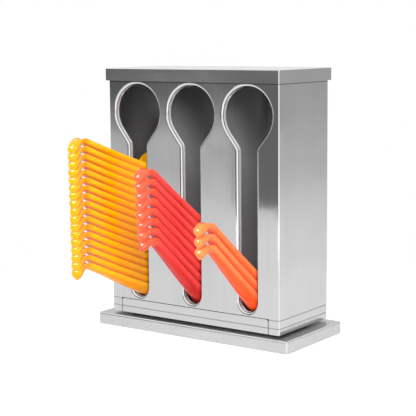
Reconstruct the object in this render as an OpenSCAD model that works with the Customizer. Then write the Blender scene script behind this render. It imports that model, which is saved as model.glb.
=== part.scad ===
// Spoon holder for a counter: a sheet steel box on a flat plinth, with three keyhole openings in its
// front, a lift-off lid, a drip tray in its foot, and three piles of hooked spoons.
// X runs to the right along the front, Y to the back, Z up. The origin is the centre of the plinth's
// footprint, on the surface that it stands on.

/* [Box] */
// Width of the box
box_w = 250; // [248:1:300]
// Depth of the box, front face to back face
box_d = 109.5; // [105:0.5:150]
// Height of the box's panels
box_h = 305; // [300:1:340]
// Thickness of the box's sheet
sheet_t = 1; // [0.8:0.1:1.4]
// Outside radius of the bends at the upright corners
corner_r = 2; // [1.6:0.1:3]
// Width of the inward fold along the top of each panel
top_fold = 9; // [6:0.5:12]
// Width of the inward folds at the back corners
back_fold = 12; // [8:0.5:16]
// Height of the upper pressed line above the box's lower edge
line_high = 17.3; // [16.5:0.1:19]
// Height of the lower pressed line above the box's lower edge
line_low = 7.7; // [5:0.1:10]
// Width of a pressed line
line_w = 1.2; // [0.8:0.1:2]
// Depth of a pressed line
line_d = 0.4; // [0.2:0.05:0.5]

/* [Plinth] */
// How far the plinth stands out at each side
plinth_side = 16.3; // [8:0.1:30]
// How far the plinth stands out at the front
plinth_front = 9.4; // [6:0.1:30]
// How far the plinth stands out at the back
plinth_back = 6.4; // [4:0.1:30]
// Height of the plinth
plinth_h = 15.1; // [13:0.1:25]
// Thickness of the plinth's sheet
plinth_t = 1.2; // [0.8:0.1:1.6]
// Radius of the plinth's rounded edges
plinth_edge_r = 2.5; // [1.8:0.1:4]
// Thickness of the riser bars, the shadow gap between plinth and box
riser_h = 2.7; // [1.5:0.1:5]
// Width of a riser bar
riser_w = 14; // [10:0.5:20]
// Distance of the riser bars from the front and back of the box
riser_inset = 15; // [10:0.5:25]
// Diameter of the weld studs
stud_d = 4; // [3:0.5:5]

/* [Keyholes] */
// Distance from the side of the box to the centre line of the outer keyholes
slot_margin = 44; // [43:0.5:46]
// Width of a slot across the outer edge of its rolled rim
slot_w = 32; // [31:0.5:36]
// Height of the slot's lowest point above the box's lower edge
slot_foot = 19.2; // [18.5:0.1:24]
// Width of sheet left between neighbouring mouths
mouth_gap = 7; // [5:0.5:15]
// Distance from the top of the box down to the centres of the mouths
mouth_drop = 52.4; // [49:0.1:59]
// Slant of the neck's edges from the upright
neck_angle = 38; // [30:1:50]
// Radius of the neck's corner, along the outer edge of the rolled rim
neck_fillet = 6; // [4:0.5:10]
// Outside radius of the rolled rim
rim_r = 3; // [2:0.1:3.2]
// How deep the rolled rim reaches behind the front face
rim_depth = 7; // [5:0.1:9]

/* [Inside] */
// Distance from the lid down to the top of the partitions
partition_drop = 22; // [18:0.5:30]
// Width of a partition's folds where it is welded to the panels
partition_fold = 8; // [5:0.5:12]
// Thickness of a partition's hemmed top edge
hem_t = 2.2; // [1.8:0.1:2.8]
// Height of the perforated floor's upper face above the box's lower edge
floor_top = 9.2; // [8.8:0.1:10.5]
// Diameter of a drain hole
drain_d = 6; // [4:0.5:8]
// Distance between neighbouring drain holes
drain_pitch = 15; // [12:0.5:18]

/* [Drip tray] */
// Distance from the side of the box to the tray's front
tray_margin = 15.5; // [14:0.5:25]
// Height of the tray's front
tray_h = 17.3; // [16.5:0.1:17.5]
// Thickness of the tray's sheet
tray_t = 0.8; // [0.6:0.1:1]
// Gap round the tray's front
tray_gap = 0.8; // [0.5:0.1:1.2]
// Corner radius of the tray's front
tray_corner_r = 3; // [1:0.5:5]
// Height of the tray's walls
tray_wall_h = 6; // [5:0.1:6.2]

/* [Lid] */
// How far the lid stands out at each side
lid_side = 2.4; // [2.2:0.1:5]
// How far the lid stands out at the front and the back
lid_end = 3.9; // [2.4:0.1:6]
// Height of the lid
lid_h = 15.3; // [10:0.1:15.5]
// Thickness of the lid's sheet
lid_t = 1; // [0.8:0.1:1.2]
// Radius of the lid's edges
lid_edge_r = 1.5; // [1.2:0.1:3]
// Height of the folded hem inside the lid's lip
lid_hem = 5; // [3:0.5:7]
// How far the locating strips reach down into the box
locator_drop = 8; // [5:0.5:12]

/* [Spoon] */
// Width of the handle where it leaves the slot
handle_w = 23; // [20:0.5:24]
// Width of the handle at the hook
hook_w = 15; // [12:0.5:18]
// Depth of the handle's gutter where it leaves the slot
handle_depth = 13; // [11:0.5:14]
// Thickness of the handle at the hook
hook_depth = 6.5; // [5:0.5:8]
// Length of the handle from the slot to the hook's bend
handle_l = 105; // [86:1:126]
// Length of the handle behind the slot
root_l = 16; // [15:0.5:20]
// Rise of the handle from the level of the bowl, in degrees
handle_rise = 42; // [38:1:46]
// How much steeper the handle is at the hook, in degrees
handle_curve = 3; // [2:1:8]
// Inside radius of the hook's bend
hook_r = 6.5; // [5:0.5:10]
// Angle of the hook's bend
hook_bend = 75; // [60:1:90]
// Length of the hook after its bend
hook_l = 14; // [10:0.5:18]
// Length of the bowl
bowl_l = 74; // [66:1:78]
// Width of the bowl
bowl_w = 52; // [44:1:54]
// Depth of the bowl
bowl_d = 22; // [19:0.5:23]
// Thickness of the spoon's wall
spoon_t = 1.8; // [1.4:0.1:2]

/* [Piles] */
// Number of yellow spoons
yellow_count = 17; // [1:1:17]
// Number of red spoons
red_count = 8; // [1:1:8]
// Number of orange spoons
orange_count = 3; // [1:1:3]
// Rise of the lowest and the highest yellow handle
yellow_rise = [24.3, 22];
// Rise of the lowest and the highest red handle
red_rise = [43.3, 39.2];
// Rise of the lowest and the highest orange handle
orange_rise = [43, 41.5];
// Distance between nested yellow spoons, square to their handles
yellow_step = 8.65; // [8.6:0.05:9.6]
// Distance between nested red spoons, square to their handles
red_step = 9.2; // [8.6:0.05:11]
// Distance between nested orange spoons, square to their handles
orange_step = 10; // [8.6:0.05:12]

// How far the yellow spoons are drawn forward through their slot
yellow_out = 5; // [0:0.5:6]
// How far the red spoons are drawn forward through their slot
red_out = 0; // [0:0.5:6]
// How far the orange spoons are drawn forward through their slot
orange_out = 0; // [0:0.5:6]

/* [Hidden] */
$fn = 64;
// Clearance between a pile and what it stands on
seat_gap = 0.3;
// Clearance of the tray between its guides, and of the lid's strips behind the folds
guide_gap = 1.5;
// Clearance of a stud in its holes
stud_gap = 0.15;
// A cut runs past the faces that it goes through by this much
past = 1;

box_x = box_w / 2;
front_y = -(plinth_front + box_d + plinth_back) / 2 + plinth_front;
back_y = front_y + box_d;
box_z = plinth_h + riser_h;
top_z = box_z + box_h;
plinth_w = box_w + 2 * plinth_side;
plinth_d = plinth_front + box_d + plinth_back;
floor_z = box_z + floor_top;
back_in_y = back_y - 2 * sheet_t;
side_in_x = box_x - sheet_t;
// The front panel's corner bends run this far back along the sides
corner_return = 8;
fold_r = 1.2;
slot_pitch = box_x - slot_margin;
mouth_d = slot_pitch - mouth_gap;
mouth_z = box_h - mouth_drop;
tray_w = box_w - 2 * tray_margin;
notch_w = tray_w + 2 * tray_gap;
notch_h = tray_h + tray_gap;
// Depth of the fold over the tray's front
notch_fold = 5;
// Distance of the riser bars' ends from the sides of the box, and of the studs from the bars' ends
riser_margin = 20;
stud_margin = 12;
riser_l = box_w - 2 * riser_margin;
riser_y = [front_y + riser_inset + riser_w / 2, back_y - riser_inset - riser_w / 2];
stud_x = riser_l / 2 - stud_margin;
nut_h = 3.2;
// Length of stud that shows below its nut
stud_end = 1.8;
stud_end_z = plinth_h - plinth_t - nut_h - stud_end;
guide_x = notch_w / 2 + guide_gap;
slot_x = [-slot_pitch, 0, slot_pitch];
slot_low = slot_foot + slot_w / 2;
slot_clear_r = slot_w / 2 - rim_r;

PILES = ["yellow", "red", "orange"];
COUNTS = [yellow_count, red_count, orange_count];
RISES = [yellow_rise, red_rise, orange_rise];
STEPS = [yellow_step, red_step, orange_step];
OUTS = [yellow_out, red_out, orange_out];

function two_digits(n) = n < 10 ? str("0", n) : str(n);
function spoon_name(pile, n) = str(PILES[pile], "_spoon_", two_digits(n));

// Plan or side outline of a box with round corners, made of true arcs. round_low = false keeps the
// two lower corners square.
module rounded(size, r, round_low = true) {
    w = size[0];
    h = size[1];
    low = round_low ? r : 0;
    translate([r, 0]) square([w - 2 * r, h]);
    translate([0, low]) square([w, h - r - low]);
    for (x = [r, w - r]) {
        translate([x, h - r]) circle(r);
        if (round_low) translate([x, r]) circle(r);
    }
}

// Block with its upright edges and its top edges rounded, standing on z = 0 about the origin
module soft_block(size, r) {
    w = size[0];
    d = size[1];
    h = size[2];
    intersection() {
        linear_extrude(h) translate([-w / 2, -d / 2]) rounded([w, d], r);
        translate([0, d / 2, 0]) rotate([90, 0, 0]) linear_extrude(d)
            translate([-w / 2, 0]) rounded([w, h], r, false);
        translate([-w / 2, 0, 0]) rotate([90, 0, 90]) linear_extrude(w)
            translate([-d / 2, 0]) rounded([d, h], r, false);
    }
}

// Sheet pan, open below: a rounded block hollowed by the sheet's thickness
module pan(size, r, t) {
    difference() {
        soft_block(size, r);
        translate([0, 0, -past])
            soft_block([size[0] - 2 * t, size[1] - 2 * t, size[2] - t + past], r - t);
    }
}

// Upright stud holes through the riser bars and the plinth
module at_studs() {
    for (x = [-stud_x, stud_x], y = riser_y) translate([x, y, 0]) children();
}

module base_plinth() {
    color("gainsboro") difference() {
        pan([plinth_w, plinth_d, plinth_h], plinth_edge_r, plinth_t);
        at_studs() translate([0, 0, plinth_h - plinth_t - past])
            cylinder(r = stud_d / 2 + stud_gap, h = plinth_t + 2 * past);
    }
}

// Closes the plinth below, with edges folded up along its walls
module plinth_bottom_plate() {
    w = plinth_w - 2 * plinth_t;
    d = plinth_d - 2 * plinth_t;
    r = plinth_edge_r - plinth_t;
    edge_h = 6;
    color("silver") difference() {
        linear_extrude(edge_h) translate([-w / 2, -d / 2]) rounded([w, d], r);
        translate([0, 0, plinth_t]) linear_extrude(edge_h)
            translate([-w / 2 + plinth_t, -d / 2 + plinth_t]) square([w - 2 * plinth_t, d - 2 * plinth_t]);
    }
}

module riser_bars() {
    color("darkgray") for (y = riser_y) difference() {
        translate([-riser_l / 2, y - riser_w / 2, plinth_h]) cube([riser_l, riser_w, riser_h]);
        for (x = [-stud_x, stud_x]) translate([x, y, plinth_h - past])
            cylinder(r = stud_d / 2 + stud_gap, h = riser_h + 2 * past);
    }
}

// Studs welded under the floor pan
module base_studs() {
    color("silver") at_studs() translate([0, 0, stud_end_z])
        cylinder(r = stud_d / 2, h = box_z - stud_end_z);
}

module base_nuts() {
    color("silver") at_studs() translate([0, 0, plinth_h - plinth_t - nut_h]) difference() {
        cylinder(r = stud_d, h = nut_h, $fn = 6);
        translate([0, 0, -past]) cylinder(r = stud_d / 2 + stud_gap / 3, h = nut_h + 2 * past);
    }
}

// Closes the box below, with low folds welded to the side and back panels
module floor_pan() {
    pan_fold = 5;
    d = back_in_y - front_y - 2 * sheet_t;
    color("silver") translate([-side_in_x, front_y + 2 * sheet_t, box_z]) {
        cube([2 * side_in_x, d, sheet_t]);
        for (x = [0, 2 * side_in_x - sheet_t]) translate([x, corner_return, 0])
            cube([sheet_t, d - corner_return - back_fold, pan_fold]);
        translate([back_fold, d - sheet_t, 0]) cube([2 * side_in_x - 2 * back_fold, sheet_t, pan_fold]);
    }
}

// Section of the rolled rim. x is measured from its outer edge towards the opening, y from the front
// face, negative to the back. It is made thinner by skin on each face
module rim_section(skin = 0) {
    lap = 0.5;
    t = sheet_t - 2 * skin;
    translate([-lap, skin - sheet_t]) square([lap, t]);
    intersection() {
        translate([0, -rim_r]) difference() {
            circle(rim_r - skin);
            circle(rim_r - skin - t);
        }
        translate([0, -rim_r]) square(rim_r);
    }
    translate([rim_r - skin - t, skin - rim_depth]) square([t, rim_depth - skin - rim_r]);
}

// Straight stretch of rim from a point, with the opening on its left. It is thinner than the bends
// by a hair, and its ends lie inside them
module rim_run(from, heading, length) {
    skin = 0.02;
    bury = 0.2;
    translate([from[0], from[1], 0]) rotate([0, 0, heading]) translate([-bury, 0, 0]) rotate([90, 0, 90])
        linear_extrude(length + 2 * bury) rim_section(skin);
}

// Bend of rim round a centre inside the opening
module rim_round(centre, r, start, turn) {
    translate([centre[0], centre[1], 0]) rotate([0, 0, start]) rotate_extrude(angle = turn)
        translate([r, 0]) mirror([1, 0]) rim_section();
}

// Bend of rim round a centre inside the sheet
module rim_corner(centre, r, start, turn) {
    translate([centre[0], centre[1], 0]) rotate([0, 0, start]) rotate_extrude(angle = turn)
        translate([r, 0]) rim_section();
}

// Outer edge of a keyhole's rim in the plane of the front face, x from its centre line, y above the
// box's edge
mouth_r = mouth_d / 2;
slot_r = slot_w / 2;
neck_top = [mouth_r * cos(neck_angle), mouth_z - mouth_r * sin(neck_angle)];
neck_run = (neck_top[0] - slot_r) / sin(neck_angle);
neck_low = [slot_r, neck_top[1] - neck_run * cos(neck_angle)];
neck_cut = neck_fillet * tan(neck_angle / 2);
neck_centre = [slot_r + neck_fillet, neck_low[1] - neck_cut];

// Hole in the sheet for a keyhole. Its edge lies under the rim's lap, a little further out round the
// mouth and the foot than along its straights, and further in at the neck's corners
module keyhole() {
    under = 0.2;
    more = 0.05;
    corner = neck_low + under * [1, -tan(neck_angle / 2)];
    slant_top = neck_top + under * [cos(neck_angle), -sin(neck_angle)];
    translate([0, mouth_z]) circle(mouth_r + under + more);
    translate([0, slot_low]) circle(slot_r + under + more);
    translate([-slot_r - under, slot_low]) square([slot_w + 2 * under, corner[1] - slot_low]);
    polygon([[-corner[0], corner[1]], corner, slant_top, [0, mouth_z], [-slant_top[0], slant_top[1]]]);
    for (side = [0, 1]) mirror([side, 0]) difference() {
        polygon([
            [slot_r, neck_centre[1]], neck_centre,
            neck_centre + neck_fillet * [-cos(neck_angle), sin(neck_angle)], neck_low
        ]);
        translate(neck_centre) circle(neck_fillet - under + more);
    }
}

module keyhole_rim() {
    rim_round([0, mouth_z], mouth_r, -neck_angle, 180 + 2 * neck_angle);
    rim_round([0, slot_low], slot_r, 180, 180);
    for (side = [0, 1]) mirror([side, 0, 0]) {
        rim_run([slot_r, slot_low], 90, neck_centre[1] - slot_low);
        rim_corner(neck_centre, neck_fillet, 180 - neck_angle, neck_angle);
        rim_run(
            neck_centre + neck_fillet * [-cos(neck_angle), sin(neck_angle)],
            90 - neck_angle, neck_run - neck_cut
        );
    }
}

// Quarter bend of sheet about the z axis, its outer face facing -x and -y
module corner_bend(length, r = corner_r) {
    rotate([0, 0, 180]) rotate_extrude(angle = 90) translate([r - sheet_t, 0]) square([sheet_t, length]);
}

// Fold along the top of a panel that lies along x, its outer face at y = 0 facing -y
module top_edge(length) {
    rotate([90, 0, 90]) linear_extrude(length) {
        difference() {
            intersection() {
                translate([fold_r, -fold_r]) circle(fold_r);
                translate([0, -fold_r]) square(fold_r);
            }
            translate([fold_r, -fold_r]) circle(fold_r - sheet_t);
        }
        translate([fold_r, -sheet_t]) square([top_fold - fold_r, sheet_t]);
    }
}

// Pressed line along the foot of the box, cut from outside
module pressed_line(z) {
    translate([0, 0, z - line_w / 2]) linear_extrude(line_w) difference() {
        translate([-box_w, -box_d]) square([2 * box_w, 2 * box_d]);
        translate([-box_x + line_d, front_y + line_d])
            rounded([box_w - 2 * line_d, box_d - 2 * line_d], corner_r - line_d);
    }
}

module pressed_lines() {
    for (z = [line_low, line_high]) pressed_line(box_z + z);
}

// Front sheet: three keyholes with rolled rims, bends at both upright corners, a fold along the top
// and a notch in the foot for the tray, with its own fold
module front_panel() {
    half = box_x - corner_r;
    color("silver") difference() {
        union() {
            translate([0, front_y, box_z]) rotate([90, 0, 0]) {
                translate([0, 0, -sheet_t]) linear_extrude(sheet_t) difference() {
                    translate([-half, 0]) square([2 * half, box_h - fold_r]);
                    translate([-notch_w / 2, -past]) square([notch_w, notch_h + past]);
                    for (x = slot_x) translate([x, 0]) keyhole();
                }
                for (x = slot_x) translate([x, 0, 0]) keyhole_rim();
            }
            translate([-half, front_y + corner_r, box_z]) corner_bend(box_h - fold_r);
            translate([half, front_y + corner_r, box_z]) mirror([1, 0, 0]) corner_bend(box_h - fold_r);
            for (x = [-box_x, box_x - sheet_t]) translate([x, front_y + corner_r, box_z])
                cube([sheet_t, corner_return - corner_r, box_h - fold_r]);
            translate([-half, front_y, top_z]) top_edge(2 * half);
            translate([-notch_w / 2, front_y + sheet_t, box_z + notch_h])
                cube([notch_w, notch_fold - sheet_t, sheet_t]);
        }
        intersection() {
            pressed_lines();
            translate([notch_w / 2, front_y - past, box_z]) cube([plinth_w, box_d, box_h]);
        }
    }
}

// Right side sheet, with a fold at the back corner and one along the top
module side_panel() {
    length = box_d - corner_return;
    difference() {
        union() {
            translate([box_x - sheet_t, front_y + corner_return, box_z])
                cube([sheet_t, length - corner_r, box_h - fold_r]);
            translate([box_x - corner_r, back_y - corner_r, box_z]) rotate([0, 0, 180])
                corner_bend(box_h - fold_r);
            translate([box_x - back_fold, back_y - sheet_t, box_z])
                cube([back_fold - corner_r, sheet_t, box_h - fold_r]);
            translate([box_x, front_y + top_fold + past, top_z]) rotate([0, 0, 90])
                top_edge(box_d - 2 * (top_fold + past));
        }
        pressed_lines();
    }
}

module right_side_panel() {
    color("lightgray") side_panel();
}

module left_side_panel() {
    color("lightgray") mirror([1, 0, 0]) side_panel();
}

// Back sheet, lying inside the folds of the side panels
module back_panel() {
    half = side_in_x - corner_r;
    color("darkgray") translate([half, back_y - sheet_t, 0]) rotate([0, 0, 180]) {
        translate([0, 0, box_z]) cube([2 * half, sheet_t, box_h - fold_r]);
        translate([corner_r, 0, top_z]) top_edge(2 * half - 2 * corner_r);
    }
}

// Partition to the right of the centre: its folds point outwards, its top edge is hemmed
module partition() {
    x = slot_pitch / 2;
    y = front_y + sheet_t;
    low = floor_z;
    high = top_z - partition_drop;
    relief_y = front_y + notch_fold + past;
    relief_z = box_z + notch_h + sheet_t + past;
    front_fold_low = max(box_z + slot_foot, relief_z);
    front_fold_high = box_z + neck_low[1] - neck_cut - neck_fillet;
    length = back_in_y - y;
    difference() {
        translate([x - sheet_t / 2, y, low]) cube([sheet_t, length, high - low - hem_t / 2]);
        translate([x - sheet_t, y - past, low - past])
            cube([2 * sheet_t, relief_y - y + past, relief_z - low + past]);
    }
    translate([x, y, high - hem_t / 2]) rotate([-90, 0, 0]) cylinder(d = hem_t, h = length);
    translate([x - sheet_t / 2, y, front_fold_low])
        cube([partition_fold, sheet_t, front_fold_high - front_fold_low]);
    translate([x - sheet_t / 2, back_in_y - sheet_t, low])
        cube([partition_fold, sheet_t, high - low - hem_t]);
}

module right_partition() {
    color("darkgray") partition();
}

module left_partition() {
    color("darkgray") mirror([1, 0, 0]) partition();
}

// Shelf that the bowls lie on: drain holes over the tray, and two legs that guide the tray
module perforated_floor() {
    y = front_y + 3 * sheet_t;
    d = back_in_y - y;
    rows = floor((d - 2 * drain_pitch) / drain_pitch);
    color("darkgray") difference() {
        union() {
            translate([-side_in_x, y, floor_z - sheet_t]) cube([2 * side_in_x, d, sheet_t]);
            for (x = [-guide_x - sheet_t, guide_x]) translate([x, y, box_z + sheet_t])
                cube([sheet_t, d - 2 * sheet_t, floor_z - box_z - 2 * sheet_t]);
        }
        for (x = slot_x, column = [-2:2], row = [0:rows - 1])
            translate([
                x + column * drain_pitch, y + d / 2 + (row - (rows - 1) / 2) * drain_pitch,
                floor_z - sheet_t - past
            ]) cylinder(d = drain_d, h = sheet_t + 2 * past);
        for (x = [-side_in_x - past, side_in_x - sheet_t])
            translate([x, y - past, floor_z - sheet_t - past])
                cube([sheet_t + past, corner_return + past, sheet_t + 2 * past]);
    }
}

// Shallow pan that slides on the floor pan
module drip_tray_pan() {
    back_gap = 3;
    w = tray_w;
    y = front_y + tray_t;
    d = back_in_y - y - back_gap;
    color("silver") translate([-w / 2, y, box_z + sheet_t]) difference() {
        cube([w, d, tray_wall_h]);
        translate([tray_t, tray_t, tray_t]) cube([w - 2 * tray_t, d - 2 * tray_t, tray_wall_h]);
    }
}

// Front strip of the tray, with round upper corners, a hem behind its top edge and a pressed line
module drip_tray_front() {
    hem_h = 5;
    color("gainsboro") translate([0, front_y, box_z]) difference() {
        union() {
            rotate([90, 0, 0]) translate([-tray_w / 2, 0, -tray_t]) linear_extrude(tray_t)
                rounded([tray_w, tray_h], tray_corner_r, false);
            translate([-tray_w / 2 + tray_corner_r, 0, tray_h - hem_h])
                cube([tray_w - 2 * tray_corner_r, 2 * tray_t, hem_h]);
        }
        translate([-tray_w / 2 - past, -past, line_low - line_w / 2])
            cube([tray_w + 2 * past, past + line_d, line_w]);
    }
}

// Cap with a lip all round, its lower edge hemmed inwards
module lid_cap() {
    w = box_w + 2 * lid_side;
    d = box_d + 2 * lid_end;
    hem_w = w - 2 * lid_t;
    hem_d = d - 2 * lid_t;
    color("silver") translate([0, (front_y + back_y) / 2, top_z + lid_t - lid_h]) {
        pan([w, d, lid_h], lid_edge_r, lid_t);
        linear_extrude(lid_hem) difference() {
            translate([-hem_w / 2, -hem_d / 2]) rounded([hem_w, hem_d], lid_edge_r - lid_t);
            translate([-hem_w / 2 + lid_t, -hem_d / 2 + lid_t])
                square([hem_w - 2 * lid_t, hem_d - 2 * lid_t]);
        }
    }
}

// Angle strips welded under the lid, which drop in behind the front and back folds
module lid_locating_strips() {
    end_gap = 20;
    leg = 12;
    w = box_w - 2 * (top_fold + end_gap);
    y = box_d / 2 - top_fold - sheet_t - guide_gap;
    color("silver") translate([0, (front_y + back_y) / 2, top_z]) for (side = [0, 1]) mirror([0, side, 0]) {
        translate([-w / 2, y - lid_t, -locator_drop]) cube([w, lid_t, locator_drop]);
        translate([-w / 2, y - leg, -lid_t]) cube([w, leg, lid_t]);
    }
}

// A spoon is drawn with the underside of its handle passing through the origin, where it leaves the
// slot, and its bowl level. Points and directions are [y, z] pairs.
handle_turn = handle_curve / handle_l;
// The bowl's rim starts this far inside the root's end
bowl_lap = 2.6;
bowl_y = root_l * cos(handle_rise) + handle_depth * sin(handle_rise) + bowl_l / 2 - bowl_lap;
bowl_rim_z = handle_depth * cos(handle_rise) - root_l * sin(handle_rise);
bowl_low_z = bowl_rim_z - bowl_d;
heel_r = 14;
// The bowl's underside starts to rise this far before its middle
bowl_rise_from = 10;

function along(a) = [-cos(a), sin(a)];
function square_to(a) = [sin(a), cos(a)];
function mix(a, b, f) = a + (b - a) * f;

// Point on the underside of the handle, s from the slot
function handle_at(s) =
    let (a = handle_rise + handle_turn * s, k = handle_turn * PI / 180)
    [-(sin(a) - sin(handle_rise)) / k, (cos(handle_rise) - cos(a)) / k];

// Half the bowl's width at y
function bowl_half(y) =
    let (f = min(1, abs(y - bowl_y) / (bowl_l / 2)))
    bowl_w / 2 * sqrt(1 - f * f);
function root_half(y) = pow(pow(y < bowl_y ? bowl_half(y) : bowl_w / 2, 4) + pow(handle_w / 2, 4), 1 / 4);

// Underside of the bowl at y: level up to just before its middle, then rising to the tip
function bowl_under(y) =
    let (start = bowl_y - bowl_rise_from, f = max(0, (y - start) / (bowl_y + bowl_l / 2 - start)))
    bowl_rim_z - bowl_d * pow(1 - f * f, 0.8);

// Section of a spoon, as shares of its half width: at its foot and at half its depth. The flared one
// lets the root, which widens to the bowl, nest as the rest does
BARREL = [0.46, 0.86];
FLARED = [0.3, 0.7];
HEEL = [0.36, 0.8];

// A station is [point, up, half width, depth, hollow, section], hollow being how much of the depth
// is open
function hook_stations() =
    let (
        a = handle_rise + handle_curve,
        centre = handle_at(handle_l) - hook_r * square_to(a),
        out = along(a - hook_bend),
        up = square_to(a - hook_bend),
        start = centre + hook_r * up,
        r = hook_w / 2
    )
    concat(
        [
            for (q = [68, 40, 0])
                [
                    start + (hook_l - r + r * sin(q)) * out, up, r * cos(q),
                    hook_depth * (q == 68 ? 0.7 : 1), q == 0 ? 0.3 : 0, BARREL
                ]
        ],
        [
            for (q = [hook_bend, hook_bend * 2 / 3, hook_bend / 3])
                [centre + hook_r * square_to(a - q), square_to(a - q), r, hook_depth, 0.5, BARREL]
        ]
    );

function handle_stations() = [
    for (f = [1, 0.5, 0])
        [
            handle_at(f * handle_l), square_to(handle_rise + f * handle_curve),
            mix(handle_w, hook_w, f) / 2, mix(handle_depth, hook_depth, f), 1, BARREL
        ]
];

// The root behind the slot, then the heel, where the handle's gutter opens into the bowl
function root_stations() =
    let (
        corner_y = -bowl_low_z / tan(handle_rise),
        reach = heel_r * tan(handle_rise / 2),
        root = -root_l * along(handle_rise),
        heel = [corner_y, bowl_low_z] + reach * along(handle_rise),
        heel_centre = [corner_y + reach, bowl_low_z + heel_r]
    )
    concat(
        [[root, square_to(handle_rise), handle_w / 2, handle_depth, 1, BARREL]],
        [
            for (f = [1, 0.5, 0.12])
                let (
                    point = f == 1 ? heel : heel_centre - heel_r * square_to(handle_rise * f),
                    up = square_to(handle_rise * f * 0.7),
                    depth = (bowl_rim_z - point[1]) / up[1]
                )
                [point, up, root_half(point[0] + up[0] * depth), depth, 1, FLARED]
        ]
    );

function bowl_stations() = [
    for (q = [-15, 2, 19, 36, 53, 70])
        let (y = bowl_y + bowl_l / 2 * sin(q))
        [
            [y, bowl_under(y)], [0, 1], q < 0 ? root_half(y) : bowl_half(y), bowl_rim_z - bowl_under(y),
            q == 70 ? 0 : 1, q < 0 ? HEEL : BARREL
        ]
];

// Section outline, from the left rim down and round to the right rim: [share of the half width,
// share of the depth]
function outline(form) = [[-1, 1], [-form[1], 0.5], [-form[0], 0], [form[0], 0], [form[1], 0.5], [1, 1]];
CORNERS = 6;

function ring(station) =
    let (
        point = station[0],
        up = station[1],
        half = station[2],
        depth = station[3],
        open = max(0, depth - spoon_t) * station[4],
        inner = max(half - spoon_t, half * 0.4),
        section = outline(station[5])
    )
    concat(
        [for (p = section) [half * p[0], point[0] + up[0] * depth * p[1], point[1] + up[1] * depth * p[1]]],
        [
            for (j = [CORNERS - 1:-1:0])
                let (p = section[j], u = depth - open * (1 - p[1]))
                [inner * p[0], point[0] + up[0] * u, point[1] + up[1] * u]
        ]
    );

STATIONS = concat(hook_stations(), handle_stations(), root_stations(), bowl_stations());
SIDES = 2 * CORNERS;
LAST = (len(STATIONS) - 1) * SIDES;

module spoon() {
    sides = [
        for (k = [0:len(STATIONS) - 2], j = [0:SIDES - 1], half = [0, 1])
            let (a = k * SIDES + j, b = k * SIDES + (j + 1) % SIDES, c = b + SIDES, d = a + SIDES)
            half == 0 ? [a, b, c] : [a, c, d]
    ];
    tip_cap = [
        for (j = [0:CORNERS - 2], half = [0, 1])
            let (a = j, b = j + 1, c = SIDES - 2 - j, d = SIDES - 1 - j)
            j < CORNERS / 2 ? (half == 0 ? [a, d, b] : [d, c, b]) : (half == 0 ? [a, c, b] : [a, d, c])
    ];
    bowl_cap = [for (f = tip_cap) [LAST + f[0], LAST + f[2], LAST + f[1]]];
    polyhedron(points = [for (s = STATIONS) each ring(s)], faces = concat(sides, tip_cap, bowl_cap));
}

// Rise of the handle of spoon n in a pile
function rise(pile, n) =
    mix(RISES[pile][0], RISES[pile][1], COUNTS[pile] > 1 ? (n - 1) / (COUNTS[pile] - 1) : 0);

// Height at the slot of a lowest spoon that lies on the floor, and of one that lies on the slot's rim
function lowest(tilt) =
    min([for (s = concat(root_stations(), bowl_stations())) s[0][0] * sin(tilt) + s[0][1] * cos(tilt)]);
function on_floor(a) = floor_z - lowest(handle_rise - a);
function on_rim(a) =
    let (half = handle_w / 4)
    box_z + slot_low - sqrt(slot_clear_r * slot_clear_r - half * half) + rim_depth * tan(a);

// Height of spoon n at the slot
function spoon_z(pile, n) =
    n == 1
        ? max(on_floor(rise(pile, 1)), on_rim(rise(pile, 1))) + seat_gap
        : spoon_z(pile, n - 1) + STEPS[pile] / cos(rise(pile, n));

module placed_spoon(pile, n) {
    forward = OUTS[pile] * along(handle_rise);
    translate([slot_x[pile], front_y, spoon_z(pile, n)]) rotate([handle_rise - rise(pile, n), 0, 0])
        translate([0, forward[0], forward[1]]) spoon();
}

module yellow_spoon(n) {
    color("orange") placed_spoon(0, n);
}

module red_spoon(n) {
    color("tomato") placed_spoon(1, n);
}

module orange_spoon(n) {
    color("coral") placed_spoon(2, n);
}

base_plinth();
plinth_bottom_plate();
riser_bars();
base_studs();
base_nuts();
floor_pan();
front_panel();
left_side_panel();
right_side_panel();
back_panel();
left_partition();
right_partition();
perforated_floor();
drip_tray_pan();
drip_tray_front();
lid_cap();
lid_locating_strips();
for (n = [1:yellow_count]) yellow_spoon(n);
for (n = [1:red_count]) red_spoon(n);
for (n = [1:orange_count]) orange_spoon(n);
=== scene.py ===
"""Looks of a counter-top spoon holder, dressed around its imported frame.

A box of bright stainless sheet stands on a flat plinth. Three keyhole openings with rolled rims hold
piles of hooked plastic spoons. Lengths are metres in the frame's own axes: X to the right along the
front, Y to the back, Z up.
"""

from __future__ import annotations

import logging
import math
from dataclasses import dataclass, field
from enum import Enum
from typing import ClassVar, Optional

import bpy
from mathutils import Matrix, Vector


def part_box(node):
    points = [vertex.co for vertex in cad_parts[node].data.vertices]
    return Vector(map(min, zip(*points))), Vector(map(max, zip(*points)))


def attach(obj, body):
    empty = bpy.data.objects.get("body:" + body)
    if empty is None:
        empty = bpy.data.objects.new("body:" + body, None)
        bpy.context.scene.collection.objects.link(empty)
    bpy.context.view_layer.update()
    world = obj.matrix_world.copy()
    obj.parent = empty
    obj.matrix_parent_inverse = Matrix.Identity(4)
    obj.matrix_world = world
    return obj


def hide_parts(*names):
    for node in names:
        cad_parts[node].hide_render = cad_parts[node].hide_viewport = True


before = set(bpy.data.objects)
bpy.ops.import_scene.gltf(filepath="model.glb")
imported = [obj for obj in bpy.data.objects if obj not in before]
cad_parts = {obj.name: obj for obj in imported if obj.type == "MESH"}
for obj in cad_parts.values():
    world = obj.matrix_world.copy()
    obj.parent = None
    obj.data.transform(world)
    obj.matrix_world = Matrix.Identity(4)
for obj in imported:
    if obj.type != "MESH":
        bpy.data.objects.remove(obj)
log = logging.getLogger("spoon_holder")

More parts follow.
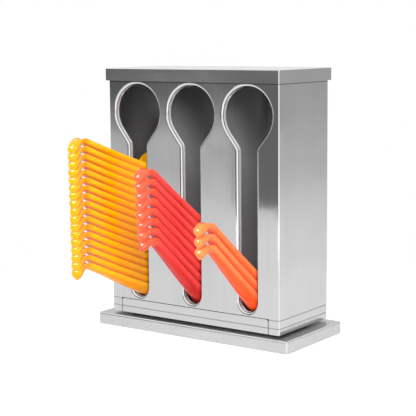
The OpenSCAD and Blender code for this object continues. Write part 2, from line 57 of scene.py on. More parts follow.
Colour = tuple[float, float, float]
Point = tuple[float, float, float]
Pair = tuple[float, float]
Socket = bpy.types.NodeSocket
MM = 0.001
WHITE = (1.0, 1.0, 1.0, 1.0)
# Low and high end of the values that noise mostly gives
NOISE = (0.3, 0.7)


class Grain(Enum):
    """Direction in which a sheet was rolled and brushed, as the stretch of its grain per axis."""

    UPRIGHT = (420.0, 420.0, 9.0)
    LEVEL = (9.0, 420.0, 420.0)


class NodeGraph:
    """A shader's node tree with short calls to add and wire nodes."""

    def __init__(self, tree: bpy.types.NodeTree) -> None:
        """Empty the tree.

        Args:
            tree: The node tree of a material or a world.
        """
        self.tree = tree
        tree.nodes.clear()

    def add(self, kind: str, inputs: Optional[dict] = None, **settings: object) -> bpy.types.Node:
        """Add one node.

        Args:
            kind: Type of the node without its ShaderNode prefix.
            inputs: Values or sockets for its inputs, by name or number.
            **settings: Properties of the node.

        Returns:
            The new node.
        """
        node = self.tree.nodes.new("ShaderNode" + kind)
        for name, value in settings.items():
            setattr(node, name, value)
        for name, value in (inputs or {}).items():
            if isinstance(value, Socket):
                self.tree.links.new(value, node.inputs[name])
            else:
                node.inputs[name].default_value = value
        return node

    def maths(self, operation: str, first: object, second: object = 0.0) -> Socket:
        """Result of a Math node on two values or sockets."""
        return self.add("Math", {0: first, 1: second}, operation=operation).outputs[0]

    def span(self, value: Socket, low: float, high: float, out_low: float, out_high: float,
             smooth: bool = False) -> Socket:
        """Map a value from one span to another, held at both ends.

        Args:
            value: The socket to map.
            low: Start of the span that is read.
            high: End of the span that is read.
            out_low: Result at the start.
            out_high: Result at the end.
            smooth: Whether the change eases in and out.

        Returns:
            The mapped socket.
        """
        kind = "SMOOTHSTEP" if smooth else "LINEAR"
        wired = {"Value": value, "From Min": low, "From Max": high, "To Min": out_low, "To Max": out_high}
        return self.add("MapRange", wired, interpolation_type=kind).outputs["Result"]

    def noise(self, vector: Socket, stretch: Point, detail: float = 2.0, roughness: float = 0.5) -> Socket:
        """Noise stretched along the axes.

        Args:
            vector: Coordinates in metres.
            stretch: Cycles per metre along x, y and z.
            detail: Octaves of the noise.
            roughness: Share that each finer octave keeps.

        Returns:
            The noise's grey value.
        """
        scaled = self.add("VectorMath", {0: vector, 1: stretch}, operation="MULTIPLY").outputs[0]
        wired = {"Vector": scaled, "Scale": 1.0, "Detail": detail, "Roughness": roughness}
        return self.add("TexNoise", wired).outputs["Fac"]

    def blend(self, share: Socket, first: object, second: object) -> Socket:
        """Blend two colours.

        Args:
            share: Share of the second colour.
            first: A colour, or a socket that gives one.
            second: Another.

        Returns:
            The blended colour.
        """
        ends = {"A": first, "B": second}
        wired = {name: (*end, 1.0) if isinstance(end, tuple) else end for name, end in ends.items()}
        node = self.add("Mix", None, data_type="RGBA")
        for socket in node.inputs:
            if socket.type == "RGBA" and socket.name in wired:
                end = wired[socket.name]
                if isinstance(end, tuple):
                    socket.default_value = end
                else:
                    self.tree.links.new(end, socket)
        self.tree.links.new(share, node.inputs["Factor"])
        return next(socket for socket in node.outputs if socket.type == "RGBA")

    def along(self, place: Socket, way: Point) -> Socket:
        """Length of a vector along a direction."""
        return self.add("VectorMath", {0: place, 1: way}, operation="DOT_PRODUCT").outputs["Value"]

    def tint(self, colour: Colour, shade: Socket) -> Socket:
        """A colour multiplied by a grey shade."""
        return self.add("VectorMath", {0: colour, 1: shade}, operation="MULTIPLY").outputs[0]


@dataclass(frozen=True)
class SteelFinish:
    """Stainless sheet with a bright rolled finish.

    Attributes:
        name: Name of the material.
        grey: Reflectance of the sheet.
        roughness: Mean roughness of the surface.
        grain: Direction of the fine lines.
        line_depth: Height of the fine lines that spread reflections across the grain.
        smudge: How much handling marks change the roughness.
        metallic: Share of the surface that mirrors; the rest is dulled and scatters light.
        painted_top_shade: How much darker faces that look up are, as painted shade.
        painted_bend_highlight: How much brighter the bends are, as a painted highlight.
        dull_from: Depth in y at which the rolled rims between the sheet's ends turn dull, if any.
        lines: Heights of thin lines of painted shade, in the pressed grooves and under the lid, each with
            the share of brightness left.
        painted_shade_under_lid: Bottom and top height over which the sheet is painted darker towards the
            top, as shade under the lid, if any, and the share left.
    """

    name: str
    grey: float = 0.66
    roughness: float = 0.13
    grain: Grain = Grain.UPRIGHT
    line_depth: float = 0.012 * MM
    smudge: float = 0.05
    metallic: float = 1.0
    painted_top_shade: float = 0.0
    painted_bend_highlight: float = 0.35
    dull_from: Optional[float] = None
    lines: tuple[Pair, ...] = ()
    painted_shade_under_lid: Optional[tuple[float, float, float]] = None

    # Cycles per metre of handling marks and of slow clouds in the sheet
    MARKS: ClassVar[Point] = (24.0, 24.0, 24.0)
    CLOUDS: ClassVar[Point] = (7.0, 7.0, 15.0)
    # How much wider the bands are than the fine lines
    BAND: ClassVar[float] = 14.0
    # Low and high end of what the lines, the bands and the clouds give to the shade
    LINE_SHADE: ClassVar[Pair] = (0.965, 1.01)
    BAND_SHADE: ClassVar[Pair] = (-0.025, 0.015)
    CLOUD_SHADE: ClassVar[Pair] = (-0.05, 0.05)
    # Roughness along the smoothest and the roughest lines, as shares of its mean
    UNEVEN: ClassVar[Pair] = (0.9, 1.1)
    # Part of the marks' noise over which a handled patch begins
    HANDLED: ClassVar[Pair] = (0.5, 0.72)
    # Upward part of a normal over which the painted top shade begins, and its largest part from a bend to a
    # flat
    FACING_UP: ClassVar[Pair] = (0.6, 0.95)
    BENT: ClassVar[Pair] = (0.75, 0.98)
    # Mirroring share left on a dull rim, the depth over which it falls, and the x beyond which it doesn't
    DULL: ClassVar[float] = 0.3
    DULL_DEPTH: ClassVar[float] = 2 * MM
    RIMS_WITHIN: ClassVar[float] = 120 * MM
    # Half widths of a line of painted shade at which its soft edge begins and ends
    LINE_HALF: ClassVar[Pair] = (0.45 * MM, 0.9 * MM)
    # Blue of the grey against its red and green
    COOL: ClassVar[float] = 1.008

    def pattern(self, graph: NodeGraph, place: Socket, lines: Socket) -> tuple[Socket, Socket]:
        """Shade and roughness of the clean, flat sheet.

        Args:
            graph: The material's node graph.
            place: Coordinates in metres.
            lines: Noise of the fine lines.

        Returns:
            The shade and the roughness.
        """
        bands = graph.noise(place, tuple(s / self.BAND for s in self.grain.value), detail=1.0)
        marks = graph.noise(place, self.MARKS, detail=3.0, roughness=0.6)
        cloud = graph.noise(place, self.CLOUDS, detail=2.0)
        shade = graph.maths("ADD", graph.span(lines, *NOISE, *self.LINE_SHADE),
                            graph.span(bands, *NOISE, *self.BAND_SHADE))
        shade = graph.maths("ADD", shade, graph.span(cloud, *NOISE, *self.CLOUD_SHADE))
        fingers = graph.span(marks, *self.HANDLED, 0.0, 1.0, smooth=True)
        low, high = (self.roughness * share for share in self.UNEVEN)
        rough = graph.span(lines, *NOISE, low, high)
        return shade, graph.maths("ADD", rough, graph.maths("MULTIPLY", fingers, self.smudge))

    def paint_shade(self, graph: NodeGraph, shade: Socket, height: Socket) -> Socket:
        """Shade darkened by painted shade: thin lines in the pressed grooves and under the lid, the inside
        darker towards the top, and darker faces that look up.

        Args:
            graph: The material's node graph.
            shade: Shade of the clean sheet.
            height: Height above the table.

        Returns:
            The darker shade.
        """
        # Thin lines of painted shade in the grooves and under the lid
        for line, left in self.lines:
            off = graph.maths("ABSOLUTE", graph.maths("SUBTRACT", height, line))
            shade = graph.maths("MULTIPLY", shade, graph.span(off, *self.LINE_HALF, left, 1.0))
        # Painted shade under the lid, darker towards the top
        if self.painted_shade_under_lid:
            low, high, left = self.painted_shade_under_lid
            shade = graph.maths("MULTIPLY", shade, graph.span(height, low, high, 1.0, left, smooth=True))
        # Faces that look up are painted darker, as shade
        if self.painted_top_shade:
            up = graph.add("SeparateXYZ", {0: graph.add("NewGeometry").outputs["Normal"]}).outputs["Z"]
            shade = graph.maths("MULTIPLY", shade, graph.span(up, *self.FACING_UP, 1.0, 1.0 - self.painted_top_shade))
        return shade

    def paint_bend_highlights(self, graph: NodeGraph, shade: Socket) -> Socket:
        """Shade with painted highlights on the bends, found where a face squares with none of the axes.

        Args:
            graph: The material's node graph.
            shade: Shade of the flat sheet.

        Returns:
            The shade.
        """
        if not self.painted_bend_highlight:
            return shade
        normal = graph.add("NewGeometry").outputs["Normal"]
        sizes = graph.add("VectorMath", {0: normal}, operation="ABSOLUTE").outputs[0]
        x, y, z = (graph.add("SeparateXYZ", {0: sizes}).outputs[axis] for axis in "XYZ")
        most = graph.maths("MAXIMUM", graph.maths("MAXIMUM", x, y), z)
        return graph.maths("MULTIPLY", shade, graph.span(most, *self.BENT, 1.0 + self.painted_bend_highlight, 1.0))

    def mirroring(self, graph: NodeGraph, aside: Socket, across: Socket) -> object:
        """Share of the surface that mirrors.

        Args:
            graph: The material's node graph.
            aside: Coordinate along x.
            across: Coordinate along y.

        Returns:
            A number, or a socket where the rims are duller.
        """
        if self.dull_from is None:
            return self.metallic
        behind = graph.span(across, self.dull_from, self.dull_from + self.DULL_DEPTH, 0.0, 1.0)
        near = self.RIMS_WITHIN - MM, self.RIMS_WITHIN + MM
        within = graph.span(graph.maths("ABSOLUTE", aside), *near, 1.0, 0.0)
        return graph.span(graph.maths("MULTIPLY", behind, within), 0.0, 1.0, self.metallic, self.DULL)

    def material(self) -> bpy.types.Material:
        """Build the finish as a node material.

        Returns:
            The material.
        """
        made = bpy.data.materials.new(self.name)
        made.use_nodes = True
        graph = NodeGraph(made.node_tree)
        place = graph.add("TexCoord").outputs["Object"]
        aside, across, height = (graph.add("SeparateXYZ", {0: place}).outputs[axis] for axis in "XYZ")
        lines = graph.noise(place, self.grain.value, detail=4.0, roughness=0.65)
        shade, rough = self.pattern(graph, place, lines)
        # The sheet's colour carries painted shade and painted highlights on the bends
        shade = self.paint_bend_highlights(graph, self.paint_shade(graph, shade, height))
        bump = graph.add("Bump", {"Height": lines, "Strength": 1.0, "Distance": self.line_depth})
        shader = graph.add("BsdfPrincipled", {
            "Base Color": graph.tint((self.grey, self.grey, self.grey * self.COOL), shade),
            "Metallic": self.mirroring(graph, aside, across),
            "Roughness": rough, "Normal": bump.outputs["Normal"],
        })
        graph.add("OutputMaterial", {"Surface": shader.outputs[0]})
        return made


@dataclass(frozen=True)
class PlasticFinish:
    """Glossy moulded plastic that lets a little light through.

    Attributes:
        name: Name of the material.
        colour: Colour of the plastic.
        deep: Colour of spoons at the dark end of the batch.
        tip: Colour painted on the hooks to stand in for the light that passes through them and falls on
            them.
        shade: Colour painted low on the handles' flanks, as shade in the crease next to the spoon below.
        roughness: Roughness of the moulded skin.
        glow: Share of light that spreads inside the wall.
    """

    name: str
    colour: Colour
    deep: Colour
    tip: Colour
    shade: Colour
    roughness: float = 0.08
    glow: float = 0.12

    # Directions up a spoon's drawn handle, which rises 42 degrees, and out of its gutter
    UP_HANDLE: ClassVar[Point] = (0.0, -0.743, 0.669)
    OUT_OF_GUTTER: ClassVar[Point] = (0.0, 0.669, 0.743)
    # Runs up the handle at which the hook's painted colour begins and is reached
    HOOK_FROM: ClassVar[Pair] = (98 * MM, 112 * MM)
    # Shares of the gutter's depth between which the low flank's painted shade fades out
    FLANK: ClassVar[Pair] = (0.4, 0.8)
    # Share of the way to the deep colour that differs from spoon to spoon, and that follows the flow
    BATCH: ClassVar[float] = 0.6
    STREAKS: ClassVar[float] = 0.4
    # Part of the flow's noise over which a streak comes in
    STREAKED: ClassVar[Pair] = (0.35, 0.65)
    # Roughness where the flow is smoothest and roughest, as shares of its mean
    UNEVEN: ClassVar[Pair] = (0.8, 1.25)
    # Depth of the dimples in the moulded skin and how strongly they show
    DIMPLE_DEPTH: ClassVar[float] = 0.02 * MM
    DIMPLE_SHOW: ClassVar[float] = 0.5
    # Cycles per metre of the plastic's flow and of the dimples
    FLOW: ClassVar[Point] = (60.0, 14.0, 60.0)
    DIMPLES: ClassVar[Point] = (420.0, 420.0, 420.0)

    def colouring(self, graph: NodeGraph, place: Socket, flow: Socket) -> Socket:
        """Colour over a spoon, varied from spoon to spoon, with painted shade low on the flanks and painted
        light on the hooks.

        Args:
            graph: The material's node graph.
            place: Coordinates in the spoon's own axes.
            flow: Noise of the plastic's flow.

        Returns:
            The colour.
        """
        batch = graph.maths("MULTIPLY", graph.add("ObjectInfo").outputs["Random"], self.BATCH)
        share = graph.maths("ADD", batch, graph.span(flow, *self.STREAKED, 0.0, self.STREAKS))
        along, above = (graph.along(place, way) for way in (self.UP_HANDLE, self.OUT_OF_GUTTER))
        depth = graph.span(along, 0.0, SpoonForm.handle_l, SpoonForm.handle_depth, SpoonForm.hook_depth)
        # Painted shade low on each flank, in the crease next to the spoon below
        low = graph.span(graph.maths("DIVIDE", above, depth), *self.FLANK, 1.0, 0.0, smooth=True)
        body = graph.blend(low, graph.blend(share, self.colour, self.deep), self.shade)
        # Painted light on the hooks, for light passing through them and the lamps facing them
        return graph.blend(graph.span(along, *self.HOOK_FROM, 0.0, 1.0, smooth=True), body, self.tip)

    def material(self) -> bpy.types.Material:
        """Build the finish as a node material.

        Returns:
            The material.
        """
        made = bpy.data.materials.new(self.name)
        made.use_nodes = True
        graph = NodeGraph(made.node_tree)
        place = graph.add("TexCoord").outputs["Object"]
        flow = graph.noise(place, self.FLOW, detail=2.0)
        dimple = graph.noise(place, self.DIMPLES, detail=1.0)
        skin = {"Height": dimple, "Strength": self.DIMPLE_SHOW, "Distance": self.DIMPLE_DEPTH}
        bump = graph.add("Bump", skin)
        low, high = (self.roughness * share for share in self.UNEVEN)
        shader = graph.add("BsdfPrincipled", {
            "Base Color": self.colouring(graph, place, flow),
            "Roughness": graph.span(flow, *NOISE, low, high),
            "IOR": 1.5, "Specular IOR Level": 0.3,
            "Subsurface Weight": self.glow, "Subsurface Radius": (1.0, 0.5, 0.2),
            "Subsurface Scale": 2 * MM, "Normal": bump.outputs["Normal"],
        })
        graph.add("OutputMaterial", {"Surface": shader.outputs[0]})
        return made


class Finishes:
    """Every finish of the holder, one material for each of the record's slots."""

    def __init__(self) -> None:
        """Build the materials."""
        # Painted shade in the two pressed lines round the foot, and a painted shadow along the lid's lower
        # edge
        foot = ((25.5 * MM, 0.66), (35.1 * MM, 0.66))
        under_lid = (307.2 * MM, 0.5)
        level = Grain.LEVEL
        finishes = [
            SteelFinish("front_steel", grey=0.66, roughness=0.07, dull_from=-51.5 * MM,
                        lines=(*foot, under_lid)),
            SteelFinish("side_steel", grey=0.67, roughness=0.16, lines=(*foot, under_lid)),
            # The lid's and the plinth's tops are painted darker where they face up, as shade
            SteelFinish("lid_steel", grey=0.66, roughness=0.16, grain=level, painted_top_shade=0.14),
            SteelFinish("plinth_steel", grey=0.64, roughness=0.28, grain=level, smudge=0.1, metallic=0.9,
                        painted_top_shade=0.3),
            SteelFinish("tray_steel", grey=0.67, roughness=0.16, grain=level, lines=foot[:1]),
            # The inside is painted darker towards the top, as shade under the lid
            SteelFinish("inner_steel", grey=0.55, roughness=0.3, metallic=0.55, painted_bend_highlight=0.0,
                        painted_shade_under_lid=(200 * MM, 300 * MM, 0.4)),
            PlasticFinish("yellow_plastic", colour=(1.0, 0.52, 0.0), deep=(0.98, 0.44, 0.0),
                          tip=(0.9, 0.33, 0.0), shade=(0.94, 0.32, 0.0)),
            PlasticFinish("red_plastic", colour=(1.0, 0.062, 0.055), deep=(0.96, 0.042, 0.036),
                          tip=(0.94, 0.1, 0.04), shade=(0.6, 0.02, 0.016)),
            PlasticFinish("orange_plastic", colour=(1.0, 0.2, 0.06), deep=(1.0, 0.16, 0.04),
                          tip=(0.92, 0.21, 0.05), shade=(1.0, 0.09, 0.01)),
        ]
        self.by_slot = {finish.name: finish.material() for finish in finishes}

    def dress(self, nodes: dict[str, str]) -> None:
        """Give nodes of the frame their finishes.

        Args:
            nodes: Material slot of each node.
        """
        for node, slot in nodes.items():
            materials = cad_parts[node].data.materials
            materials.clear()
            materials.append(self.by_slot[slot])
            log.info("dressed %s in %s", node, slot)


@dataclass
class SheetWork:
    """A sub-assembly of folded sheet whose pieces are nodes of the frame.

    Attributes:
        title: What the sub-assembly is, for the log.
        slots: Material slot of each node.
    """

    title: str
    slots: dict[str, str]

    def build(self, finishes: Finishes) -> None:
        """Dress the nodes.

        Args:
            finishes: The holder's materials.
        """
        finishes.dress(self.slots)
        log.info("%s: %d pieces", self.title, len(self.slots))


def mix(first: float, second: float, share: float) -> float:
    """Value between two others."""
    return first + (second - first) * share


def share_of(value: float, low: float, high: float) -> float:
    """How far a value lies from the low to the high end of a span, held at both ends."""
    return min(1.0, max(0.0, (value - low) / (high - low)))


@dataclass
class Station:
    """A cross section of a spoon.

    Attributes:
        y: Place along the spoon of the section's foot.
        z: Height of the section's foot.
        up: Direction from the foot towards the open side, as y and z.
        half: Half the width across the rims.
        depth: Distance from the foot to the rims.
        hollow: Share of the depth that is open. Below 0 the section is domed over its rims.
        foot: Half width of the foot as a share of half.
        belly: Half width at half the depth as a share of half.
    """

    y: float
    z: float
    up: Pair
    half: float
    depth: float
    hollow: float
    foot: float
    belly: float


@dataclass
class SpoonForm:
    """A hooked spoon, drawn with the underside of its handle passing through the origin, bowl level.

    The handle is a gutter that rises to the front and ends in a hook that bends down. Behind the
    slot it opens over a heel into the bowl. Lengths are metres, angles are degrees.

    Attributes:
        handle_w: Width of the gutter at the slot.
        hook_w: Width of the hook.
        handle_depth: Depth of the gutter at the slot.
        hook_depth: Depth of the gutter at the hook.
        handle_l: Length of the handle from the slot to the hook's bend.
        root_l: Length of the straight gutter behind the slot.
        rise: Rise of the handle at the slot.
        curve: How much steeper the handle is at its end.
        hook_r: Radius of the hook's bend.
        hook_bend: Angle through which the hook bends down.
        hook_l: Length of the hook past its bend.
        bowl_l: Length of the bowl.
        bowl_w: Width of the bowl.
        bowl_d: Depth of the bowl.
        wall: Thickness of the plastic.
        heel_r: Radius of the heel between gutter and bowl.
        bowl_lap: How far the bowl laps over the gutter's end.
        rise_from: Distance before the bowl's middle at which its underside starts to rise.
        barrel: Foot and belly of a round section, as in a station.
        flared: Foot and belly where the gutter opens.
        heel: Foot and belly where the bowl begins.
        swell: How much thicker the hook and its bend are than their solid, on the underside.
        side_points: Steps on each side of a section.
        lip: Height of the rounding along the rims.
    """

    handle_w: float = 23 * MM
    hook_w: float = 15 * MM
    handle_depth: float = 13 * MM
    hook_depth: float = 6.5 * MM
    handle_l: float = 105 * MM
    root_l: float = 16 * MM
    rise: float = 42.0
    curve: float = 3.0
    hook_r: float = 6.5 * MM
    hook_bend: float = 75.0
    hook_l: float = 14 * MM
    bowl_l: float = 74 * MM
    bowl_w: float = 52 * MM
    bowl_d: float = 22 * MM
    wall: float = 1.8 * MM
    heel_r: float = 14 * MM
    bowl_lap: float = 2.6 * MM
    rise_from: float = 10 * MM
    barrel: Pair = (0.46, 0.86)
    flared: Pair = (0.3, 0.7)
    heel: Pair = (0.36, 0.8)
    swell: float = 1.4 * MM
    side_points: int = 8
    lip: float = 0.45 * MM

    # Degrees from the hook's widest section, at 0, towards its very tip, at 90
    HOOK_END: ClassVar[tuple[int, ...]] = (84, 74, 62, 48, 32, 16, 0)
    # Share of the hook's depth that would be left at its very tip
    TIP_DEPTH: ClassVar[float] = 0.3
    # Open share of the hook where its end begins and at its tip, and what its bend opens to
    HOOK_OPEN: ClassVar[Pair] = (-0.35, -0.15)
    BEND_OPEN: ClassVar[float] = 0.9
    # Steps round the bend and along the handle
    STEPS: ClassVar[int] = 8
    # Turn of the heel's sections as shares of the rise, from the gutter to the bowl
    HEEL_TURNS: ClassVar[tuple[float, ...]] = (1.35, 1.0, 0.8, 0.6, 0.45, 0.3, 0.12)
    # Shares between which the gutter flares, and how far sections lean on the heel and before it.
    # They lean less than its surface, so that they don't cross inside the bend
    FLARES: ClassVar[Pair] = (1.7, 1.0)
    LEAN: ClassVar[Pair] = (0.7, 0.85)
    # Powers of the smooth widening into the bowl and of the bowl's rise to its tip
    WIDENING: ClassVar[int] = 4
    UPSWEEP: ClassVar[float] = 0.8
    # Degrees from the bowl's middle, at 0, towards its tip, at 90
    BOWL_TURNS: ClassVar[tuple[int, ...]] = (-15, -6, 2, 11, 19, 28, 36, 45, 53, 60, 66, 71, 76, 80)
    # Degrees between which the bowl's section turns round, and between which its hollow closes
    TURNS_ROUND: ClassVar[tuple[int, int]] = (-15, 19)
    CLOSES: ClassVar[tuple[int, int]] = (66, 80)
    # Pulls on a section's curve: factor on the foot or the belly, and share of the depth
    FOOT_PULL: ClassVar[Pair] = (1.55, -0.02)
    BELLY_PULL: ClassVar[Pair] = (1.13, 0.42)
    # Least share of the half width inside the wall, most shares of depth and half width for the lip,
    # and share of the lip that is bevelled
    INSIDE: ClassVar[float] = 0.4
    LIP_MOST: ClassVar[Pair] = (0.2, 0.15)
    BEVEL: ClassVar[float] = 0.3

    def __post_init__(self) -> None:
        """Work out the bowl's place from the handle's sizes."""
        rise = math.radians(self.rise)
        self.bowl_y = (self.root_l * math.cos(rise) + self.handle_depth * math.sin(rise)
                       + self.bowl_l / 2 - self.bowl_lap)
        self.rim_z = self.handle_depth * math.cos(rise) - self.root_l * math.sin(rise)
        self.low_z = self.rim_z - self.bowl_d

    @staticmethod
    def along(angle: float) -> Vector:
        """Direction up the handle at a rise, as y and z."""
        return Vector((-math.cos(math.radians(angle)), math.sin(math.radians(angle))))

    @staticmethod
    def square_to(angle: float) -> Vector:
        """Direction out of the handle's gutter at a rise, as y and z."""
        return Vector((math.sin(math.radians(angle)), math.cos(math.radians(angle))))

    def handle_at(self, run: float) -> Vector:
        """Point on the underside of the handle, which bends evenly.

        Args:
            run: Length along the handle from the slot.

        Returns:
            The point as y and z.
        """
        turn = math.radians(self.curve) / self.handle_l
        first = math.radians(self.rise)
        angle = first + turn * run
        ahead = (math.sin(angle) - math.sin(first)) / turn
        return Vector((-ahead, (math.cos(first) - math.cos(angle)) / turn))

    def bowl_half(self, y: float) -> float:
        """Half the bowl's width at y."""
        share = min(1.0, abs(y - self.bowl_y) / (self.bowl_l / 2))
        return self.bowl_w / 2 * math.sqrt(1 - share * share)

    def root_half(self, y: float) -> float:
        """Half the width at y where the handle widens into the bowl."""
        bowl = self.bowl_half(y) if y < self.bowl_y else self.bowl_w / 2
        return (bowl ** self.WIDENING + (self.handle_w / 2) ** self.WIDENING) ** (1 / self.WIDENING)

    def bowl_under(self, y: float) -> float:
        """Height of the bowl's underside at y."""
        share = share_of(y, self.bowl_y - self.rise_from, self.bowl_y + self.bowl_l / 2)
        return self.rim_z - self.bowl_d * (1 - share * share) ** self.UPSWEEP

    def hook_stations(self) -> list[Station]:
        """Sections from the hook's tip round its bend.

        Returns:
            The hook's sections in that order.
        """
        top = self.rise + self.curve
        centre = self.handle_at(self.handle_l) - self.hook_r * self.square_to(top)
        out = self.along(top - self.hook_bend)
        up = self.square_to(top - self.hook_bend)
        start = centre + self.hook_r * up
        r = self.hook_w / 2
        found = []
        for turn in self.HOOK_END:
            run, narrow = math.sin(math.radians(turn)), math.cos(math.radians(turn))
            point = start + (self.hook_l - r + r * run) * out - self.swell * up
            depth = self.swell + self.hook_depth * mix(self.TIP_DEPTH, 1.0, narrow)
            hollow = mix(*self.HOOK_OPEN, turn / max(self.HOOK_END))
            found.append(Station(*point, tuple(up), r * narrow, depth, hollow, *self.barrel))
        for k in range(self.STEPS):
            share = k / self.STEPS
            normal = self.square_to(top - self.hook_bend * (1 - share))
            point = centre + (self.hook_r - self.swell) * normal
            hollow = mix(self.HOOK_OPEN[0], self.BEND_OPEN, share)
            depth = self.hook_depth + self.swell
            found.append(Station(*point, tuple(normal), r, depth, hollow, *self.barrel))
        return found

    def handle_stations(self) -> list[Station]:
        """Sections of the handle, from the hook to the root's end behind the slot.

        Returns:
            The handle's sections in that order.
        """
        found = []
        for k in range(self.STEPS + 1):
            share = 1 - k / self.STEPS
            normal = self.square_to(self.rise + share * self.curve)
            # The swell fades out over the quarter next to the hook
            swell = self.swell * max(0.0, 4 * share - 3)
            point = self.handle_at(share * self.handle_l) - swell * normal
            half = mix(self.handle_w, self.hook_w, share) / 2
            depth = mix(self.handle_depth, self.hook_depth, share) + swell
            found.append(Station(*point, tuple(normal), half, depth, 1.0, *self.barrel))
        root = -self.root_l * self.along(self.rise)
        for share in (0.5, 1.0):
            found.append(Station(*(root * share), tuple(self.square_to(self.rise)), self.handle_w / 2,
                                 self.handle_depth, 1.0, *self.barrel))
        return found

    def heel_stations(self) -> list[Station]:
        """Sections where the gutter opens over its heel into the bowl.

        Returns:
            The heel's sections in that order.
        """
        rise = math.radians(self.rise)
        corner_y = -self.low_z / math.tan(rise)
        reach = self.heel_r * math.tan(rise / 2)
        heel = Vector((corner_y, self.low_z)) + reach * self.along(self.rise)
        centre = Vector((corner_y + reach, self.low_z + self.heel_r))
        root = -self.root_l * self.along(self.rise)
        found = []
        for turn in self.HEEL_TURNS:
            if turn > 1:
                point = mix(root, heel, 0.5)
            elif turn == 1:
                point = heel
            else:
                point = centre - self.heel_r * self.square_to(self.rise * turn)
            up = self.square_to(self.rise * min(1.0, turn) * self.LEAN[turn > 1])
            depth = (self.rim_z - point.y) / up.y
            share = share_of(turn, *self.FLARES)
            half = self.root_half(point.x + up.x * depth)
            form = [mix(a, b, share) for a, b in zip(self.barrel, self.flared)]
            found.append(Station(point.x, point.y, tuple(up), half, depth, 1.0, *form))
        return found

    def bowl_stations(self) -> list[Station]:
        """Sections of the bowl, from behind the heel to its tip.

        Returns:
            The bowl's sections in that order.
        """
        found = []
        for turn in self.BOWL_TURNS:
            y = self.bowl_y + self.bowl_l / 2 * math.sin(math.radians(turn))
            under = self.bowl_under(y)
            half = self.root_half(y) if turn < 0 else self.bowl_half(y)
            form = [mix(a, b, share_of(turn, *self.TURNS_ROUND)) for a, b in zip(self.heel, self.barrel)]
            hollow = 1.0 - share_of(turn, *self.CLOSES)
            found.append(Station(y, under, (0.0, 1.0), half, self.rim_z - under, hollow, *form))
        return found

    def stations(self) -> list[Station]:
        """All sections from the hook's tip to the bowl's tip."""
        return self.hook_stations() + self.handle_stations() + self.heel_stations() + self.bowl_stations()

    def outline(self, station: Station) -> list[Pair]:
        """Smooth half outline of a section, from the middle of its foot to its rim.

        Args:
            station: The section.

        Returns:
            Pairs of share of the half width and share of the depth.
        """
        foot = (station.foot * self.FOOT_PULL[0], self.FOOT_PULL[1])
        belly = (station.belly * self.BELLY_PULL[0], self.BELLY_PULL[1])
        points = ((0.0, 0.0), foot, belly, (1.0, 1.0))
        found = []
        for k in range(self.side_points + 1):
            t = k / self.side_points
            weights = ((1 - t) ** 3, 3 * (1 - t) ** 2 * t, 3 * (1 - t) * t * t, t ** 3)
            found.append(tuple(sum(w * p[axis] for w, p in zip(weights, points)) for axis in (0, 1)))
        return found

    def ring(self, station: Station) -> list[Point]:
        """Points round a section: outside from the left rim to the right, over the lip, and back inside.

        Args:
            station: The section.

        Returns:
            The points in the spoon's own axes.
        """
        open_depth = max(0.0, station.depth - self.wall) * station.hollow
        inner = max(station.half - self.wall, station.half * self.INSIDE)
        side = self.outline(station)
        lip = min(self.lip, station.depth * self.LIP_MOST[0], station.half * self.LIP_MOST[1])
        bevel = lip * self.BEVEL

        def at(x: float, up: float) -> Point:
            """Point at x and at a distance from the section's foot."""
            return (x, station.y + station.up[0] * up, station.z + station.up[1] * up)

        outer_right = [at(station.half * x, max(0.0, station.depth * u)) for x, u in side[:-1]]
        outer_right.append(at(station.half, station.depth - lip))
        outer_right.append(at(station.half - bevel, station.depth - bevel))
        inner_right = [at(inner + bevel, station.depth - bevel), at(inner, station.depth - lip)]
        inner_right += [at(inner * x, station.depth - open_depth * (1 - max(0.0, u)))
                        for x, u in reversed(side[:-1])]
        right = outer_right + inner_right
        left = [(-x, y, z) for x, y, z in reversed(right[1:-1])]
        return right + left


